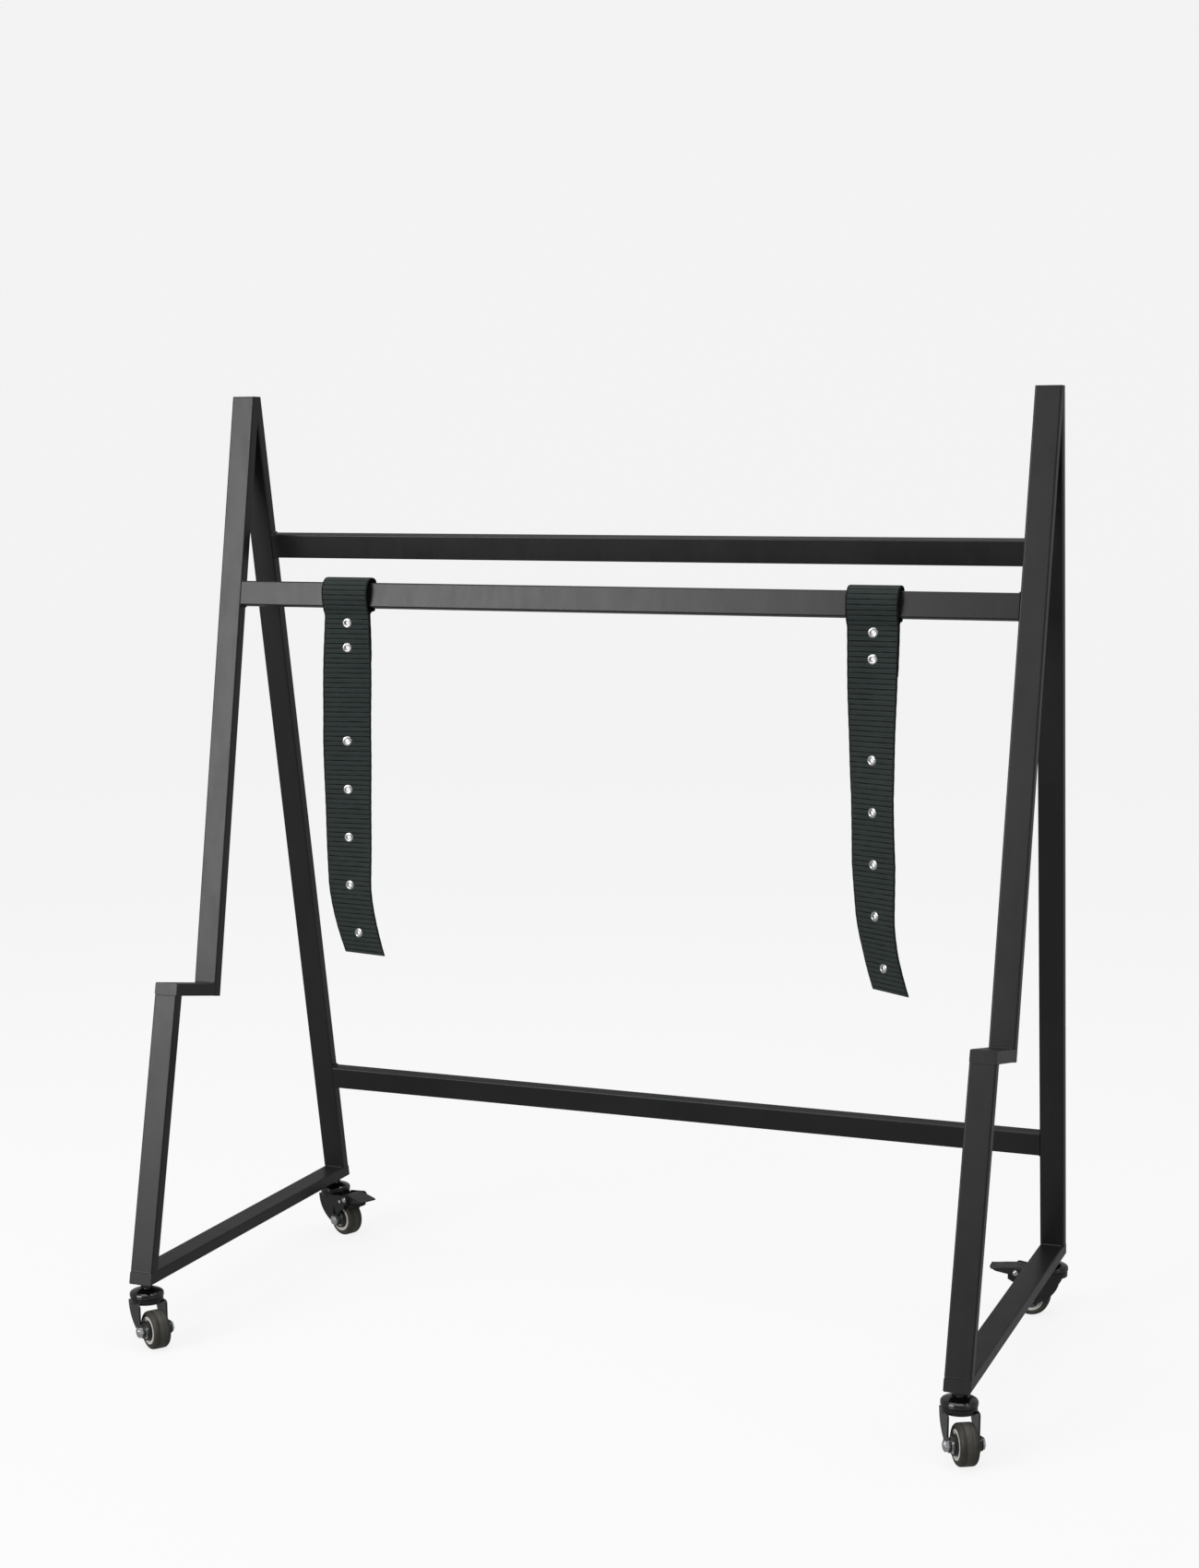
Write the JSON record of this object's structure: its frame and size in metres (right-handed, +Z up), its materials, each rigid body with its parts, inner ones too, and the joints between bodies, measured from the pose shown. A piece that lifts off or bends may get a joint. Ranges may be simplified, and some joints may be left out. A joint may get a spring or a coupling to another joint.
{
  "type": "background support system",
  "caption": "Black steel stand on four casters that holds a photo backdrop or board: two stepped A-frames, three crossbars and two hanging eyelet straps.",
  "frame": {"origin": "on the floor under the middle of the stand's width and depth", "axes": "+Z up, +X to the right seen from the ledge side, +Y from the ledges to the rear legs"},
  "size_m": [1.4158, 0.7555, 1.514],
  "materials": {
    "paint": "satin",
    "fork_paint": "gloss",
    "zinc": "satin",
    "eyelet": "polished",
    "webbing": "matte",
    "tyre": "matte",
    "rim": "matte",
    "ring": "gloss",
    "pedal": "matte"
  },
  "bodies": {
    "frame": {"left_upper_front_leg": "paint", "left_ledge": "paint", "left_lower_front_leg": "paint", "left_bottom_rail": "paint", "left_rear_leg": "paint", "left_top_cap": "paint", "right_upper_front_leg": "paint", "right_ledge": "paint", "right_lower_front_leg": "paint", "right_bottom_rail": "paint", "right_rear_leg": "paint", "right_top_cap": "paint", "front_bar": "paint", "rear_upper_bar": "paint", "rear_lower_bar": "paint", "rail_weld_nuts": "zinc", "stem_jam_nuts": "zinc", "caster_stems": "zinc", "swivel_caps": "fork_paint", "swivel_balls": "zinc"},
    "front_left_swivel": {"front_left_fork": "fork_paint", "front_left_axle": "zinc"},
    "front_left_wheel": {"front_left_tyre": "tyre", "front_left_rim": "rim", "front_left_side_rings": "ring", "front_left_bearings": "zinc"},
    "front_right_swivel": {"front_right_fork": "fork_paint", "front_right_axle": "zinc"},
    "front_right_wheel": {"front_right_tyre": "tyre", "front_right_rim": "rim", "front_right_side_rings": "ring", "front_right_bearings": "zinc"},
    "rear_left_swivel": {"rear_left_fork": "fork_paint", "rear_left_axle": "zinc", "rear_left_brake_pin": "zinc"},
    "rear_left_wheel": {"rear_left_tyre": "tyre", "rear_left_rim": "rim", "rear_left_side_rings": "ring", "rear_left_bearings": "zinc"},
    "rear_left_brake": {"rear_left_brake_pedal": "pedal", "rear_left_brake_shoe": "pedal"},
    "rear_right_swivel": {"rear_right_fork": "fork_paint", "rear_right_axle": "zinc", "rear_right_brake_pin": "zinc"},
    "rear_right_wheel": {"rear_right_tyre": "tyre", "rear_right_rim": "rim", "rear_right_side_rings": "ring", "rear_right_bearings": "zinc"},
    "rear_right_brake": {"rear_right_brake_pedal": "pedal", "rear_right_brake_shoe": "pedal"},
    "left_strap_hanger": {"left_strap_loop": "webbing"},
    "left_strap_end": {"left_strap_fold": "webbing", "left_strap_tail": "webbing", "left_strap_eyelets": "eyelet"},
    "right_strap_hanger": {"right_strap_loop": "webbing"},
    "right_strap_end": {"right_strap_fold": "webbing", "right_strap_tail": "webbing", "right_strap_eyelets": "eyelet"}
  },
  "joints": [
    {"name": "front_left_swivel_joint", "type": "hinge", "parent": "frame", "child": "front_left_swivel", "pos_m": [-0.671, -0.316, 0.083], "axis": [0, 0, 1], "continuous": true},
    {"name": "front_left_wheel_joint", "type": "hinge", "parent": "front_left_swivel", "child": "front_left_wheel", "pos_m": [-0.64479, -0.33435, 0.0315], "axis": [0.5736, 0.8192, 0], "continuous": true},
    {"name": "front_right_swivel_joint", "type": "hinge", "parent": "frame", "child": "front_right_swivel", "pos_m": [0.671, -0.316, 0.083], "axis": [0, 0, 1], "continuous": true},
    {"name": "front_right_wheel_joint", "type": "hinge", "parent": "front_right_swivel", "child": "front_right_wheel", "pos_m": [0.687, -0.34371, 0.0315], "axis": [0.866, 0.5, 0], "continuous": true},
    {"name": "rear_left_swivel_joint", "type": "hinge", "parent": "frame", "child": "rear_left_swivel", "pos_m": [-0.671, 0.348, 0.083], "axis": [0, 0, 1], "continuous": true},
    {"name": "rear_left_wheel_joint", "type": "hinge", "parent": "rear_left_swivel", "child": "rear_left_wheel", "pos_m": [-0.642, 0.33448, 0.0315], "axis": [0.4226, 0.9063, 0], "continuous": true},
    {"name": "rear_left_brake_joint", "type": "hinge", "parent": "rear_left_swivel", "child": "rear_left_brake", "pos_m": [-0.61979, 0.32412, 0.0742], "axis": [0.4226, 0.9063, 0], "range_deg": [0, 20]},
    {"name": "rear_right_swivel_joint", "type": "hinge", "parent": "frame", "child": "rear_right_swivel", "pos_m": [0.671, 0.348, 0.083], "axis": [0, 0, 1], "continuous": true},
    {"name": "rear_right_wheel_joint", "type": "hinge", "parent": "rear_right_swivel", "child": "rear_right_wheel", "pos_m": [0.63902, 0.34688, 0.0315], "axis": [0.0349, -0.9994, 0], "continuous": true},
    {"name": "rear_right_brake_joint", "type": "hinge", "parent": "rear_right_swivel", "child": "rear_right_brake", "pos_m": [0.61453, 0.34603, 0.0742], "axis": [0.0349, -0.9994, 0], "range_deg": [0, 20]},
    {"name": "left_strap_slide", "type": "slide", "parent": "frame", "child": "left_strap_hanger", "axis": [1, 0, 0], "range_m": [-0.14, 0.35]},
    {"name": "left_strap_swing", "type": "hinge", "parent": "left_strap_hanger", "child": "left_strap_end", "pos_m": [-0.453, 0.01904, 1.161], "axis": [1, 0, 0], "range_deg": [-70, 70]},
    {"name": "right_strap_slide", "type": "slide", "parent": "frame", "child": "right_strap_hanger", "axis": [1, 0, 0], "range_m": [-0.35, 0.13]},
    {"name": "right_strap_swing", "type": "hinge", "parent": "right_strap_hanger", "child": "right_strap_end", "pos_m": [0.431, 0.01904, 1.161], "axis": [1, 0, 0], "range_deg": [-70, 70]}
  ]
}
